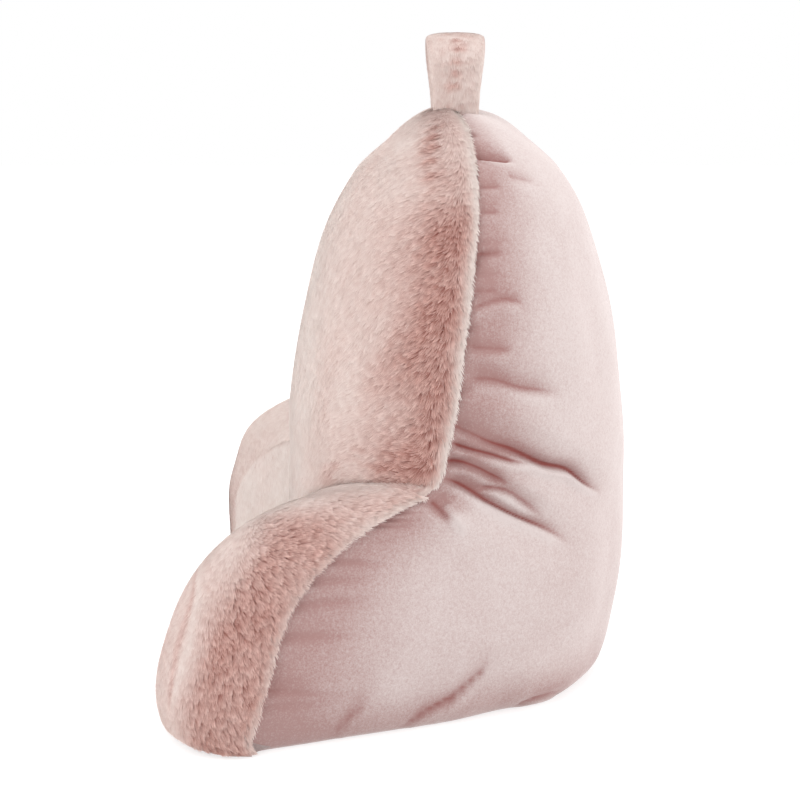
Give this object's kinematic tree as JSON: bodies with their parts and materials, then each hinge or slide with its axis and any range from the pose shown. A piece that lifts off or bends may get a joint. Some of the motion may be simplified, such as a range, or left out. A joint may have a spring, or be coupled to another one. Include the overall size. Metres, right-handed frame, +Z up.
{
  "type": "reading pillow with arms",
  "caption": "Plump upright back cushion with splayed padded arms, long-pile front and arms, short-pile velvet sides and rear, and a carrying loop on its crown.",
  "frame": {"origin": "middle of the footprint, on the surface that the pillow stands on", "axes": "+Z up; the pillow faces -Y, its arms reach forward towards -Y, and the arm on its right as seen from the front is towards +X"},
  "size_m": [0.568, 0.4046, 0.5634],
  "materials": {
    "velvet": "short-pile velvet, pale dusty pink, deeper in the folds and almost white where it turns away",
    "fur": "long brushed pile lying in locks, dusty pink with pale tips"
  },
  "bodies": {
    "root": {"cushion_body": "velvet", "front_panel": "fur", "arm_band_right": "fur", "arm_band_left": "fur", "arm_inner_right": "fur", "arm_inner_left": "fur", "handle": "fur"}
  },
  "joints": []
}
